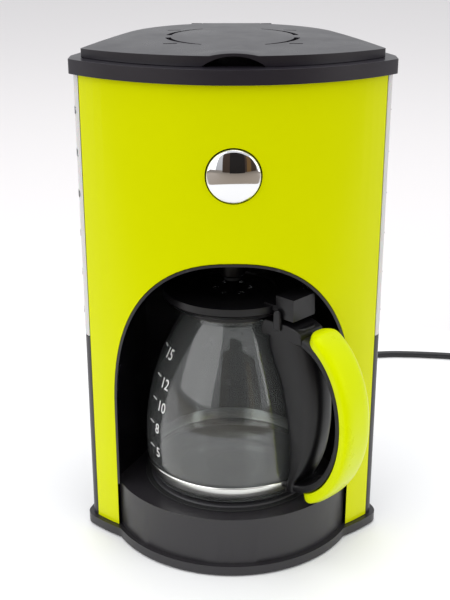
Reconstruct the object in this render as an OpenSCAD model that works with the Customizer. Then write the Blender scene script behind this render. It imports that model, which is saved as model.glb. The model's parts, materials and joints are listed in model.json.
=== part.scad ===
// Drip coffee maker with a curved front panel and a lift-out glass carafe.
// Z is up, the front faces -Y, and the origin is on the table under the middle of the machine.

/* [Housing] */
// Width across the front corners of the body
body_w = 208; // [200:1:250]
// Depth of the body from the front panel to the rear wall
body_d = 175; // [165:1:215]
// Height of the body under the top rim
body_top = 336.5; // [326:0.5:410]
// Radius of the curved front panel
front_r = 145; // [140:1:180]
// Radius of the rounded rear
nose_r = 82; // [78:1:90]
// Radius of the two front corners
corner_r = 8; // [8:0.5:10]
// Wall of the moulded housing
wall = 2.4; // [2:0.1:3]
// Wall of the niche liner
liner_t = 1.6; // [1.4:0.1:1.8]
// Width of the coloured front panel, measured across its two edges
panel_w = 200; // [186:1:240]
// Thickness of the front panel
panel_t = 2; // [1.5:0.1:2.5]

/* [Carafe niche] */
// Width of the arched opening
arch_w = 167; // [160:1:175]
// Height of the top of the arch above the table
arch_top = 220.7; // [214:0.1:226]
// Height at which the arch starts to curve inwards
arch_spring = 100; // [90:1:120]
// Radius of the niche around the carafe
niche_r = 72; // [70:0.5:75]

/* [Base] */
// Radius of the round platform that carries the warming plate
platform_r = 89.3; // [88:0.1:92]
// Height of the platform above the table
platform_top = 43.3; // [40:0.1:46]
// How far the foot flange stands out from the walls
flange_out = 3.6; // [2:0.1:5]
// Height of the top of the foot flange
flange_top = 8; // [6:0.5:10]
// Distance from the platform's axis forward to the front panel
front_set = 65; // [62:0.5:67]
// Distance from the platform's axis forward to the carafe's axis
carafe_set = 15; // [12:0.5:16]
// Radius of the warming plate
plate_r = 60; // [58:0.5:61]

/* [Top] */
// Height of the top rim
rim_h = 9.5; // [8:0.5:14]
// How far the top rim stands out from the walls
rim_out = 4.1; // [2:0.1:5]
// How far the lid's edge sits inside the body's outline
lid_inset = 5.5; // [5:0.1:7.8]
// Height of the lid's edge above the rim
lid_h = 5.5; // [5:0.1:8]
// Extra height of the lid's crown in its middle
crown = 3; // [1:0.1:3.4]

/* [Carafe] */
// Largest radius of the glass
glass_r = 63; // [60:0.5:64]
// Thickness of the glass
glass_t = 2.2; // [1.8:0.1:2.6]
// Radius of the glass neck
neck_r = 34; // [30:0.5:36]
// Height of the glass above its foot
glass_h = 134; // [130:1:136]
// Radius of the carafe lid and of the collar under it
carafe_lid_r = 49; // [48:0.5:50]
// Direction of the handle, in degrees from straight right towards the front
handle_turn = 44; // [38:1:50]
// Width of the handle
handle_w = 24; // [20:1:26]

/* [Brewing parts] */
// Radius of the filter basket at its mouth
basket_r = 44; // [40:0.5:45]
// Radius of the coffee outlet under the basket
outlet_r = 9; // [8:0.5:10]
// Radius of the round push button
button_r = 17.5; // [15:0.5:18]
// Travel of the push button
button_travel = 3; // [2:0.5:4]
// Travel of the drip stop
drip_travel = 4; // [3:0.5:5]

/* [Mains lead] */
// Diameter of the mains lead
cord_d = 6; // [5:0.5:7]

/* [Hidden] */
$fn = 96;
fit = 0.3;
slip = 0.4;

front_y = -front_set;
front_cy = front_y + front_r;
nose_cy = front_y + body_d - nose_r;
corner_x = body_w / 2 - corner_r;
corner_y = front_cy - sqrt(pow(front_r - corner_r, 2) - corner_x * corner_x);
carafe_y = -carafe_set;

// The handle's grip reaches furthest forward, the flange at the rear furthest back.
grip_reach = 116;
front_end = carafe_y - grip_reach * sin(handle_turn) - (handle_w / 2 + 1) * cos(handle_turn);
rear_end = nose_cy + nose_r + max(rim_out, flange_out);
axis_y = -(front_end + rear_end) / 2;

rim_top = body_top + rim_h;
lid_z = rim_top + 0.2;
lid_top = rim_top + lid_h;
hinge_y = nose_cy + nose_r - lid_inset + 3.5;
hinge_z = rim_top + 3.3;
hinge_pin_r = 1.5;
hinge_half = 30;
rim_corner = 2.2;

plate_top = platform_top + 2.2;
foot_z = plate_top + fit;
cover_z = 1.6;
cover_t = 2;
post_xy = [[-58, -42], [58, -42], [-54, 52], [54, 52]];

basket_y = -4;
basket_z = 238;
basket_top = 316;
well_r = basket_r + 3.6;
tank_floor = arch_top + 5.5;
tank_top = body_top - 2.5;
sump_floor = 150;
tank_w = 2;
tank_gap = wall + 0.8;
riser_at = [-26, 84];
valve_at = [26, 84];
riser_r = 5;
hose_r = 7;
hose_z = 30;
heater_z = 24;

button_z = 278.8;
bezel_r = button_r + 1.9;

gauge_low = 153;
gauge_y = 2;
gauge_x = panel_w / 2 + 0.4;

neck_z = foot_z + glass_h;
lid_rim_z = neck_z + 3.2;
lid_rim_h = 5;
lever_top = lid_rim_z + 13.2;
lever_reach = 65.5;
lever_low = 181;
lever_w = 22;
ear_t = 2.6;
carafe_hinge_rho = 53;
carafe_hinge_z = lid_rim_z + 1;
carafe_pin_r = 1.5;
carafe_pin_l = lever_w + 2 * slip + ear_t;

drip_tip = lid_rim_z + lid_rim_h + 4.6;

exit_turn = 60;
exit_z = 20;
exit_out = nose_r + 26;
exit = [exit_out * cos(exit_turn), nose_cy + exit_out * sin(exit_turn), exit_z];

coil_mid = [285, 300];
coil_in = 27;
coil_out = 39;
coil_h = 12;

// The lead's route on the table, from the strain relief to the coil, measured from the origin.
cord_path = [[exit[0], exit[1] + axis_y, exit[2]],
    [58, 124.5, 19.8], [63, 133, 17.6], [68, 143, 13.5], [73, 155, 8.5], [77, 168, 4.8],
    [81, 182, 3.2], [85, 199, 3], [90, 217, 3], [97, 235, 3], [107, 252, 3], [121, 266, 3],
    [138, 275, 3], [158, 279, 3], [180, 279, 3], [202, 277, 3], [224, 274, 3], [245, 270, 3],
    [263, 268, 3]];

// ---- helpers ----

// Points of an arc about [cx, cy], from angle a0 to a1.
function arc(cx, cy, r, a0, a1, n) =
    [for (i = [0:n]) let(a = a0 + (a1 - a0) * i / n) [cx + r * cos(a), cy + r * sin(a)]];

// Points of an oval with half-axes a and b; p above 2 makes it squarer.
function oval(cx, cy, a, b, p, a0, a1, n) =
    [for (i = [0:n]) let(t = a0 + (a1 - a0) * i / n, c = cos(t), s = sin(t))
        [cx + a * sign(c) * pow(abs(c), 2 / p), cy + b * sign(s) * pow(abs(s), 2 / p)]];

// Directions in which the front arc and the straight side leave the right corner.
corner_arm = [corner_x, corner_y - nose_cy];
front_a = atan2(corner_y - front_cy, corner_x);
side_a = atan2(corner_arm[1], corner_arm[0]) + acos((nose_r - corner_r) / norm(corner_arm));

// The body's outline seen from above, moved outwards by grow. Its corners are round until they
// are moved in by more than their radius, and sharp after that.
module plan(grow = 0) {
    r = corner_r + grow;
    nose = arc(0, nose_cy, nose_r + grow, side_a, 180 - side_a, 40);
    if (r > 0.3) {
        polygon(concat(
            arc(0, front_cy, front_r + grow, -180 - front_a, front_a, 36),
            arc(corner_x, corner_y, r, front_a, side_a, 8), nose,
            arc(-corner_x, corner_y, r, 180 - side_a, 180 - front_a, 8)));
    } else {
        far = [corner_x + r * cos(side_a) + 80 * sin(side_a),
            corner_y + r * sin(side_a) - 80 * cos(side_a)];
        intersection() {
            translate([0, front_cy]) circle(r = front_r + grow, $fn = 180);
            polygon(concat([[-far[0], far[1]], far], nose));
        }
    }
}

// The arched opening in the front, seen from the front, made larger by grow.
module arch(grow = 0) {
    half = arch_w / 2 + grow;
    polygon(concat([[half, -1], [half, arch_spring]],
        oval(0, arch_spring, half, arch_top - arch_spring + grow, 2.4, 0, 180, 48),
        [[-half, arch_spring], [-half, -1]]));
}

// The niche's outline seen from above, made larger by grow.
module niche_plan(grow = 0) {
    half = arch_w / 2 - fit + grow;
    polygon(concat([[-half, front_y - 30], [half, front_y - 30], [half, -25]],
        arc(0, carafe_y, niche_r + grow, 15, 165, 40), [[-half, -25]]));
}

// The arched vault of the niche as a solid, running back from the front.
module vault(arch_grow, plan_grow) {
    intersection() {
        translate([0, 150, 0]) rotate([90, 0, 0]) linear_extrude(300) arch(arch_grow);
        linear_extrude(arch_top + 10) niche_plan(plan_grow);
    }
}

// The platform's outline: round in front, held inside the walls behind.
module platform_plan(grow = 0) {
    intersection() {
        circle(r = platform_r + grow, $fn = 128);
        union() {
            plan(grow - wall - fit);
            translate([-arch_w / 2 + fit - grow, front_y - 60])
                square([arch_w - 2 * fit + 2 * grow, 90]);
        }
    }
}

// A slab from z0 to z1.
module slab(z0, z1) { translate([0, 0, z0]) linear_extrude(z1 - z0) children(); }

// A round bar through a list of points, with round joints.
module pipe(points, r) {
    for (i = [0:len(points) - 2]) {
        v = points[i + 1] - points[i];
        translate(points[i])
            rotate([0, acos(v[2] / norm(v)), atan2(v[1], v[0])]) cylinder(r = r, h = norm(v));
        if (i > 0) translate(points[i]) sphere(r = r);
    }
}

// A hollow pipe, open at both ends.
module hose(points, r_out, r_in) {
    last = len(points) - 1;
    start_v = points[0] - points[1];
    end_v = points[last] - points[last - 1];
    cut = concat([points[0] + start_v / norm(start_v)], [for (i = [1:last - 1]) points[i]],
        [points[last] + end_v / norm(end_v)]);
    difference() {
        pipe(points, r_out);
        pipe(cut, r_in);
    }
}

// A ring about a vertical axis.
module ring(r_out, r_in, h) {
    difference() {
        cylinder(r = r_out, h = h);
        translate([0, 0, -1]) cylinder(r = r_in, h = h + 2);
    }
}

// One closed tube swept along points, with the given number of sides.
module sweep(points, r, sides) {
    last = len(points) - 1;
    function along(i) =
        let(d = points[min(i + 1, last)] - points[max(i - 1, 0)]) d / norm(d);
    function across(i) = let(t = along(i), s = cross([0, 0, 1], t)) s / norm(s);
    rings = [for (i = [0:last]) let(t = along(i), u = across(i), v = cross(t, u))
        for (k = [0:sides - 1]) let(a = 360 * k / sides)
            points[i] + r * cos(a) * u + r * sin(a) * v];
    walls = [for (i = [0:last - 1]) for (k = [0:sides - 1])
        let(a = i * sides + k, b = i * sides + (k + 1) % sides)
            [b, a, a + sides, b + sides]];
    cap0 = [for (k = [0:sides - 1]) k];
    cap1 = [for (k = [0:sides - 1]) last * sides + sides - 1 - k];
    polyhedron(points = rings, faces = concat([cap0], [cap1], walls));
}

// A coil spring standing on z = 0.
module coil_spring(mid_r, wire_r, height, turns) {
    steps = turns * 14;
    sweep([for (i = [0:steps]) let(a = 360 * turns * i / steps)
        [mid_r * cos(a), mid_r * sin(a), wire_r + (height - 2 * wire_r) * i / steps]], wire_r, 6);
}

// Moves a part from the platform's axis to its place over the origin.
module at_axis() { translate([0, axis_y, 0]) children(); }

// Places a part at the carafe's axis.
module at_carafe() { at_axis() translate([0, carafe_y, 0]) children(); }

// Stands a drawing of [distance from the axis, height] up in the handle's plane.
module in_handle_plane(width) {
    rotate([0, 0, -handle_turn]) translate([0, width / 2, 0]) rotate([90, 0, 0])
        linear_extrude(width) children();
}

// ---- housing ----

module base_shell() color("#4e4b4e") at_axis() difference() {
    union() {
        slab(1.2, flange_top) {
            plan(flange_out);
            circle(r = platform_r + flange_out, $fn = 128);
        }
        slab(flange_top, platform_top) platform_plan();
    }
    slab(0, flange_top - 1) {
        plan(-wall - fit);
        circle(r = platform_r - wall, $fn = 128);
    }
    difference() {
        slab(flange_top - 2, platform_top - wall) platform_plan(-wall);
        for (p = post_xy) translate([p[0], p[1], 0]) cylinder(r = 4.2, h = platform_top);
    }
    for (p = post_xy) translate([p[0], p[1], -1]) cylinder(r = 1.5, h = 24);
    for (p = post_xy) translate([p[0], p[1], -1]) ring(20, 4.2, cover_z + cover_t + 1.2);
    translate([0, carafe_y, 0]) cylinder(r = plate_r + 2, h = 100);
    for (p = [riser_at, valve_at]) translate([p[0], p[1], -1]) cylinder(r = 9, h = 60);
    translate([80.5, 0, 30]) cylinder(r = 6.5, h = 30);
}

module bottom_cover() color("#2b2a2c") at_axis() difference() {
    slab(cover_z, cover_z + cover_t) {
        plan(-wall - 2 * fit);
        circle(r = platform_r - wall - fit, $fn = 128);
    }
    for (p = post_xy) translate([p[0], p[1], 0]) cylinder(r = 1.9, h = 10);
    for (i = [-4:4]) translate([i * 9 - 1.5, -20, 0]) cube([3, 36, 10]);
}

module feet() color("#1c1c1c") at_axis()
    for (p = [[-72, -30], [72, -30], [-44, 78], [44, 78]])
        translate([p[0], p[1], 0]) cylinder(r = 8, h = cover_z);

module base_screws() color("silver") at_axis()
    for (p = post_xy) translate([p[0], p[1], 0]) difference() {
        union() {
            translate([0, 0, 0.4]) cylinder(r = 3.2, h = cover_z - 0.4);
            cylinder(r = 1.45, h = 18);
        }
        translate([-2, -0.4, -1]) cube([4, 0.8, 2]);
        translate([-0.4, -2, -1]) cube([0.8, 4, 2]);
    }

module front_panel() color("#dce600") at_axis() difference() {
    intersection() {
        translate([0, front_cy, flange_top + fit])
            ring_fine(front_r, front_r - panel_t, body_top - flange_top - fit);
        translate([-panel_w / 2, front_y - 5, 0]) cube([panel_w, 70, body_top + 5]);
    }
    translate([0, 60, 0]) rotate([90, 0, 0]) linear_extrude(200) arch();
    translate([0, 0, button_z]) rotate([90, 0, 0]) cylinder(r = button_r + 0.8, h = 100);
}

// A ring with a fine outline.
module ring_fine(r_out, r_in, h) {
    difference() {
        cylinder(r = r_out, h = h, $fn = 180);
        translate([0, 0, -1]) cylinder(r = r_in, h = h + 2, $fn = 180);
    }
}

module niche_liner() color("#151416") at_axis() difference() {
    intersection() {
        vault(-fit, 0);
        translate([0, front_cy, platform_top]) cylinder(r = front_r + 0.8, h = 300, $fn = 180);
    }
    vault(-fit - liner_t, -liner_t);
    translate([0, carafe_y, 150]) cylinder(r = outlet_r + 3, h = 100);
}

// The wall of the housing from z0 to z1, growing inwards from the outline by t.
module housing_wall(z0, z1, t) {
    difference() {
        slab(z0, z1) plan();
        slab(z0 - 1, z1 + 1) plan(-t);
    }
}

// The two side strips at the front corners, where the water gauges sit.
module gauge_zone(side, z0, z1, clear) {
    near = gauge_x - clear;
    translate([side > 0 ? near : -near - 60, front_y, z0]) cube([60, gauge_y + clear - front_y,
        z1 - z0]);
}

module rear_shell() color("#4a474a") at_axis() difference() {
    housing_wall(flange_top, body_top, wall);
    translate([-gauge_x + 0.1, front_y - 5, 0]) cube([2 * gauge_x - 0.2, 55, body_top + 5]);
    for (s = [-1, 1]) gauge_zone(s, gauge_low - 0.2, body_top + 1, 0.2);
    translate([0, nose_cy, exit_z]) rotate([0, 90, exit_turn]) cylinder(r = 5, h = 120);
}

module gauge_window(side) {
    intersection() {
        housing_wall(gauge_low, body_top - fit, wall - 0.2);
        gauge_zone(side, gauge_low, body_top, 0);
    }
}

module gauge_window_left() color("#e8e8e2") at_axis() gauge_window(-1);

module gauge_window_right() color("#e8e8e2") at_axis() gauge_window(1);

// The rim's three hinge ears and the lid's two knuckles share the pin.
module hinge_barrel(from, to) {
    translate([from, hinge_y, hinge_z]) rotate([0, 90, 0]) cylinder(r = 3, h = to - from);
}

module top_rim() color("#3c3a3e") at_axis() difference() {
    union() {
        slab(body_top, rim_top) intersection() {
            plan(rim_out);
            square([body_w + 2 * rim_corner, 400], center = true);
        }
        for (x = [-hinge_half, -4, hinge_half - 8]) {
            hinge_barrel(x, x + 8);
            translate([x, hinge_y - 2.4, rim_top - 1]) cube([8, 4.8, hinge_z - rim_top + 1]);
        }
    }
    slab(body_top - 1, rim_top + 1) difference() {
        plan(-wall - 9);
        translate([-hinge_half - 6, hinge_y - 12]) square([2 * hinge_half + 12, 30]);
    }
    translate([-60, hinge_y, hinge_z]) rotate([0, 90, 0])
        cylinder(r = hinge_pin_r, h = 120);
}

// ---- water ----

module tank_outline(grow = 0) {
    difference() {
        plan(grow - tank_gap);
        translate([0, basket_y]) circle(r = well_r - grow);
        translate([-60, front_y - 10]) square([120, 46 - grow]);
        translate(riser_at) circle(r = riser_r + 2.5 - grow);
    }
}

// The tank's lower chamber wraps round the back of the niche.
module sump_outline(grow = 0) {
    difference() {
        plan(grow - tank_gap);
        niche_plan(1.2 - grow);
        translate([-150, -200 - grow]) square([300, 185]);
        translate(riser_at) circle(r = riser_r + 2.5 - grow);
    }
}

module water_tank() color("#d8dde0") at_axis() difference() {
    union() {
        slab(tank_floor, tank_top) tank_outline();
        slab(sump_floor, tank_floor + 1) sump_outline();
        translate([valve_at[0], valve_at[1], sump_floor - 16]) cylinder(r = 5, h = 17);
    }
    slab(tank_floor + tank_w, tank_top + 1) tank_outline(-tank_w);
    slab(sump_floor + tank_w, tank_floor + tank_w + 1) sump_outline(-tank_w);
    translate([valve_at[0], valve_at[1], sump_floor - 20]) cylinder(r = 3.5, h = 40);
}

module check_valve_body() color("#f0f0f0") at_axis()
    translate([valve_at[0], valve_at[1], sump_floor - 46]) difference() {
        union() {
            cylinder(r = 5, h = 12);
            translate([0, 0, 8]) cylinder(r = 8, h = 14);
            translate([0, 0, 20]) cylinder(r = 5, h = 9);
        }
        translate([0, 0, -1]) cylinder(r = 2.6, h = 40);
        translate([0, 0, 11]) cylinder(r = 4.2, h = 8.4);
    }

module check_valve_ball() color("#c03020") at_axis()
    translate([valve_at[0], valve_at[1], sump_floor - 46 + 12.95]) sphere(r = 3.2);

module inlet_hose() color("#e6e2d8") at_axis() {
    x = valve_at[0];
    y = valve_at[1];
    translate([x, y, sump_floor - 19]) ring(hose_r, 5.05, 16);
    hose([[x, y, sump_floor - 38.2], [x, y, hose_z], [x, 46, hose_z]], hose_r, 5.05);
}

module outlet_hose() color("#e6e2d8") at_axis() {
    x = riser_at[0];
    y = riser_at[1];
    hose([[x, 46, hose_z], [x, y, hose_z], [x, y, 80]], hose_r, 5.05);
}

module hose_clamps() color("silver") at_axis() {
    for (z = [sump_floor - 12, sump_floor - 45]) translate([valve_at[0], valve_at[1], z])
        ring(hose_r + 1.1, hose_r + 0.02, 5);
    translate([riser_at[0], riser_at[1], 70]) ring(hose_r + 1.1, hose_r + 0.02, 5);
    for (x = [riser_at[0], valve_at[0]]) translate([x, 53, hose_z]) rotate([90, 0, 0])
        ring(hose_r + 1.1, hose_r + 0.02, 5);
}

module riser_tube() color("#d9d4c8") at_axis()
    translate([riser_at[0], riser_at[1], 66]) ring(riser_r, 3.5, lid_top - 78);

// ---- heater ----

module warming_plate() color("#39383a") at_carafe() translate([0, 0, platform_top - 2.4])
    difference() {
        cylinder(r = plate_r, h = 4.6);
        translate([0, 0, -1]) cylinder(r = plate_r - 2, h = 3.6);
        translate([0, 0, 4.2]) cylinder(r = plate_r - 8, h = 2);
    }

module plate_seal() color("#8d1f14") at_carafe() translate([0, 0, platform_top - 4])
    difference() {
        union() {
            cylinder(r = plate_r + 2, h = 5);
            translate([0, 0, 4]) cylinder(r = plate_r + 4, h = 1);
        }
        translate([0, 0, -1]) cylinder(r = plate_r - 2, h = 10);
        translate([0, 0, 1.6]) cylinder(r = plate_r, h = 10);
    }

module heating_element() color("silver") at_axis() difference() {
    union() {
        difference() {
            translate([0, carafe_y, heater_z]) ring(46, 30, platform_top + 0.2 - heater_z);
            translate([-15, carafe_y + 10, 0]) cube([30, 60, 80]);
        }
        for (x = [riser_at[0], valve_at[0]]) translate([x, 12, hose_z]) rotate([-90, 0, 0])
            cylinder(r = 5, h = 46);
    }
    for (x = [riser_at[0], valve_at[0]]) translate([x, 14, hose_z]) rotate([-90, 0, 0])
        cylinder(r = 3.5, h = 60);
}

module heater_bracket() color("#c9c9c4") at_carafe() difference() {
    translate([-50, -7, 22.4]) cube([100, 14, 1.6]);
    translate([0, 0, 10]) cylinder(r = 2.1, h = 30);
}

module thermostat() color("#b8b4a8") at_carafe() {
    translate([0, 0, 28]) cylinder(r = 8.5, h = 8);
    translate([0, 0, 36]) cylinder(r = 6.5, h = platform_top + 0.2 - 36);
    translate([0, 0, 20]) cylinder(r = 2, h = 9);
}

module thermal_fuse() color("#e0ddd2") at_carafe() translate([0, -22, 36.6])
    rotate([0, 90, 0]) translate([0, 0, -10]) cylinder(r = 3, h = 20);

// ---- brewing ----

module filter_basket() color("#2a282b") at_axis() difference() {
    translate([0, basket_y, 0]) union() {
        translate([0, 0, basket_z]) cylinder(r1 = 32, r2 = basket_r, h = basket_top - basket_z);
        translate([0, 0, basket_top - 2]) cylinder(r = well_r - 0.6, h = 2);
        translate([0, carafe_y - basket_y, drip_tip + 4])
            cylinder(r = outlet_r, h = basket_z - drip_tip);
    }
    translate([0, basket_y, basket_z + 2])
        cylinder(r1 = 30, r2 = basket_r - 2, h = basket_top - basket_z);
    translate([0, carafe_y, drip_tip]) cylinder(r = outlet_r - 2, h = 16);
    translate([0, carafe_y, drip_tip]) cylinder(r = 4, h = 60);
    translate([0, carafe_y, basket_z - 8]) cylinder(r = outlet_r - 2, h = 20);
}

module mesh_filter() color("#c9a24a") at_axis() translate([0, basket_y, basket_z + 14])
    difference() {
        union() {
            cylinder(r1 = 30, r2 = basket_r - 4.5, h = 60);
            translate([0, 0, 58]) cylinder(r = basket_r - 3.8, h = 2);
        }
        translate([0, 0, 1]) cylinder(r1 = 28.8, r2 = basket_r - 5.9, h = 60);
    }

module drip_stop_valve() color("#a02c20") at_carafe() {
    translate([0, 0, drip_tip]) cylinder(r = 6, h = 2.4);
    translate([0, 0, drip_tip]) cylinder(r = 2.4, h = basket_z - 5.6 - drip_tip);
    translate([0, 0, basket_z - 7.6]) cylinder(r = 6.2, h = 2);
}

module drip_stop_spring() color("silver") at_carafe() translate([0, 0, basket_z - 5.5])
    coil_spring(3.6, 0.4, 11, 5);

module drip_stop_cap() color("#2a282b") at_carafe() translate([0, 0, basket_z + 5.8])
    difference() {
        union() {
            cylinder(r = 6.8, h = 1.6);
            translate([-16, -2, -3.6]) cube([32, 4, 5.2]);
        }
        translate([0, 0, -10]) cylinder(r = 6.9, h = 9.6);
        translate([0, 0, -1]) cylinder(r = 2.6, h = 10);
    }

// ---- lid ----

// One quarter of the lid's ring of steam vents, wider towards its outer end.
module vent_slot(a0, a1) {
    steps = 10;
    polygon([for (side = [1, -1], i = [0:steps])
        let(t = side > 0 ? i / steps : 1 - i / steps, a = a0 + (a1 - a0) * t,
            r = vent_r + side * (1.9 - t))
        [r * cos(a), r * sin(a)]]);
}

module lid() color("#3d3a42") at_axis() difference() {
    union() {
        intersection() {
            slab(lid_z, lid_top + crown) plan(-lid_inset);
            translate([0, vent_y, 0]) rotate_extrude($fn = 180) polygon(concat(
                [[0, lid_z - 1], [120, lid_z - 1]],
                [for (r = [120:-10:0]) [r, lid_top + crown * (1 - pow(r / 110, 2))]]));
        }
        intersection() {
            translate([0, front_y + 14, lid_top + hood_h - 64]) sphere(r = 64);
            slab(lid_z, lid_top + hood_h + 1) plan(-lid_inset);
        }
        for (s = [-1, 1]) hinge_knuckle(s);
    }
    slab(lid_z - 1, lid_top - 2.2) plan(-lid_inset - 2.2);
    translate([0, front_y + 22, lid_top + hood_h - 2.4 - 33.6]) rotate([90, 0, 0])
        cylinder(r = 33.6, h = 30);
    for (x = [-hinge_half - 0.4, -4.4, hinge_half - 8.4]) translate([x, hinge_y - 4.2, lid_z - 1])
        cube([8.8, 12, lid_h + 6]);
    translate([-60, hinge_y, hinge_z]) rotate([0, 90, 0])
        cylinder(r = hinge_pin_r + 0.06, h = 120);
    translate([0, vent_y, lid_z]) linear_extrude(lid_h + 10) for (q = [0:3])
        rotate([0, 0, q < 2 ? 0 : 180]) mirror([0, q % 2, 0]) {
            vent_slot(8, 62);
            translate([41, 33.5]) square([9, 2.4], center = true);
        }
}

vent_y = 22;
vent_r = 44;
hood_h = 3.6;

module hinge_knuckle(side) {
    inner = 4.4;
    outer = hinge_half - 8.4;
    from = side > 0 ? inner : -outer;
    hinge_barrel(from, from + outer - inner);
    translate([from, hinge_y - 8, hinge_z - 1.5]) cube([outer - inner, 8, 4]);
}

module lid_spreader() color("#545157") at_axis() difference() {
    union() {
        translate([0, basket_y, lid_top - 11.2]) cylinder(r = 34, h = 9);
        translate([0, basket_y, lid_top - 11.2]) spreader_arm(6, 9);
    }
    translate([0, basket_y, lid_top - 9.6]) cylinder(r = 32, h = 6);
    translate([0, basket_y, lid_top - 9.6]) spreader_arm(4.4, 6);
    translate([riser_at[0], riser_at[1], lid_top - 20]) cylinder(r = 3.4, h = 14);
    for (a = [0:30:330], r = [12, 24]) translate([r * cos(a), basket_y + r * sin(a), 0])
        cylinder(r = 1.2, h = lid_top - 8);
}

// The channel from the riser tube to the middle of the spreader.
module spreader_arm(half_w, h) {
    reach = [riser_at[0], riser_at[1] - basket_y];
    turn = atan2(reach[1], reach[0]);
    rotate([0, 0, turn]) translate([0, -half_w, 0]) cube([norm(reach), 2 * half_w, h]);
    translate([reach[0], reach[1], 0]) cylinder(r = half_w + 0.6, h = h);
}

module lid_hinge_pin() color("silver") at_axis()
    translate([-hinge_half + 0.5, hinge_y, hinge_z]) rotate([0, 90, 0])
        cylinder(r = hinge_pin_r, h = 2 * hinge_half - 1);

// ---- switch ----

// Turns a part made along +Z to point forward from the front panel at the button's height.
module at_button() { at_axis() translate([0, front_y, button_z]) rotate([90, 0, 0]) children(); }

module power_button() color("#dcdcdc") at_button() {
    intersection() {
        translate([0, 0, -2]) cylinder(r = button_r, h = 12);
        translate([0, 0, 4.4 - 42]) sphere(r = 42, $fn = 160);
    }
    translate([0, 0, -10]) cylinder(r = 3, h = 9);
}

module button_bezel() color("#242326") at_button() difference() {
    translate([0, 0, -7]) cylinder(r = bezel_r, h = 3.6);
    translate([0, 0, -5.5]) cylinder(r = button_r + slip, h = 20);
    translate([0, 0, -20]) cylinder(r = 3.3, h = 40);
}

module button_spring() color("silver") at_button() translate([0, 0, -5.45])
    coil_spring(6, 0.4, 3.4, 2);

module switch_body() color("#e9e7df") at_button() difference() {
    translate([-11, -8, -14.5]) cube([22, 16, 7.4]);
    translate([0, 0, -13.4]) cylinder(r = 3.3, h = 20);
}

module terminal_block() color("#efece2") at_axis() difference() {
    translate([44, 2, cover_z + cover_t]) cube([24, 12, 12]);
    for (x = [50, 62]) translate([x, 0, 10]) rotate([-90, 0, 0]) cylinder(r = 1.6, h = 20);
}

// The two insulated wires from the terminal block up to the switch.
module wiring() color("#8c2f2a") at_axis() for (s = [0, 1])
    sweep([[50 + 12 * s, 8, 10], [50 + 12 * s, -3 + 3 * s, 10], [56 + 10 * s, -11 + 6 * s, 11],
        [68 + 4 * s, -12 + 6 * s, 14 + s], [77 + s, -8 + 5 * s, 20 + 4 * s],
        [80 + s, -3 + 5 * s, 32 + 4 * s], [80 + s, -2 + 5 * s, 60], [83, -8 + 4 * s, 95],
        [87, -20 + 4 * s, 130], [90, -23 + 4 * s, 165], [90, -25 + 4 * s, 190],
        [86, -27 + 4 * s, 208], [74, -37 + 4 * s, 219], [60, -46 + 4 * s, 223],
        [52, -49 + 4 * s, 232], [24, -51, 257 + 5 * s], [14 - 6 * s, -48, 272],
        [8 - 13 * s, -44, 276], [8 - 13 * s, front_y + 14.5, 276]], 1.2, 8);

// ---- mains lead ----

module strain_relief() color("#1b1b1c") at_axis() translate([0, nose_cy, exit_z])
    rotate([0, 90, exit_turn]) difference() {
        union() {
            translate([0, 0, nose_r - 10]) cylinder(r = 7, h = 10 - wall - 0.8);
            translate([0, 0, nose_r - 4]) cylinder(r = 4.9, h = 4.1);
            translate([0, 0, nose_r + 0.1]) cylinder(r = 7, h = 2);
            translate([0, 0, nose_r + 2]) cylinder(r1 = 5.4, r2 = 3.9, h = 24);
        }
        translate([0, 0, nose_r - 20]) cylinder(r = cord_d / 2 - 0.2, h = 19);
    }

module power_cord() color("#161616") sweep(cord_path, cord_d / 2, 10);

module cord_coil() color("#161616") translate([coil_mid[0], coil_mid[1], 0])
    rotate_extrude() translate([coil_in, 0]) square([coil_out - coil_in, coil_h]);

// The plug lies on its side where the outermost turn leaves the coil.
plug_at = [coil_mid[0] + coil_out - 3, coil_mid[1] + 34, 0];

module mains_plug() color("#181818") translate(plug_at) {
    translate([-11, 0, 0]) cube([22, 30, 15]);
    translate([0, 0, 7.5]) rotate([90, 0, 0]) cylinder(r1 = 6, r2 = 4, h = 18);
}

module plug_blades() color("#c8b06a") translate(plug_at)
    for (x = [-7.1, 5.6]) translate([x, 30, 4.4]) cube([1.5, 17, 6.3]);

// ---- carafe ----

// The outside of the glass from the foot to the lip: distance from the axis and height.
glass_side = [[glass_r - 11, 0], [glass_r - 5, 1.5], [glass_r - 2.4, 6], [glass_r - 0.9, 14],
    [glass_r, 29], [glass_r - 0.8, 46], [glass_r - 3.4, 62], [glass_r - 7.4, 78],
    [glass_r - 12.3, 92], [glass_r - 18.3, 105], [neck_r + 5, 116], [neck_r + 1.8, 122],
    [neck_r, 126]];

module glass_solid(inset) {
    rotate_extrude() polygon(concat([[0, inset]],
        [for (p = glass_side) [p[0] - inset, max(p[1], inset)]],
        [[neck_r - inset, glass_h + (inset > 0 ? 1 : 0)], [0, glass_h + (inset > 0 ? 1 : 0)]]));
}

module carafe_glass() color([0.8, 0.85, 0.85, 0.4]) at_carafe() translate([0, 0, foot_z])
    difference() {
        glass_solid(0);
        glass_solid(glass_t);
    }

band_z = 7;
band_h = 8.4;

module carafe_band() color("#e4e4e4") at_carafe() translate([0, 0, foot_z + band_z])
    difference() {
        cylinder(r1 = glass_r - 1.2, r2 = glass_r + 0.2, h = band_h);
        translate([0, 0, -0.01])
            cylinder(r1 = glass_r - 2, r2 = glass_r - 0.6, h = band_h + 0.02);
    }

collar_z = neck_z - 6;

module carafe_collar() color("#3a383b") at_carafe() difference() {
    union() {
        translate([0, 0, collar_z]) cylinder(r = neck_r + 3, h = 9);
        translate([0, 0, neck_z - 0.6]) cylinder(r1 = carafe_lid_r - 4, r2 = carafe_lid_r, h = 3.4);
    }
    translate([0, 0, collar_z - 1]) cylinder(r = neck_r + 0.05, h = 7.2);
    translate([0, 0, collar_z]) cylinder(r = neck_r - 4, h = 20);
}

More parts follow.
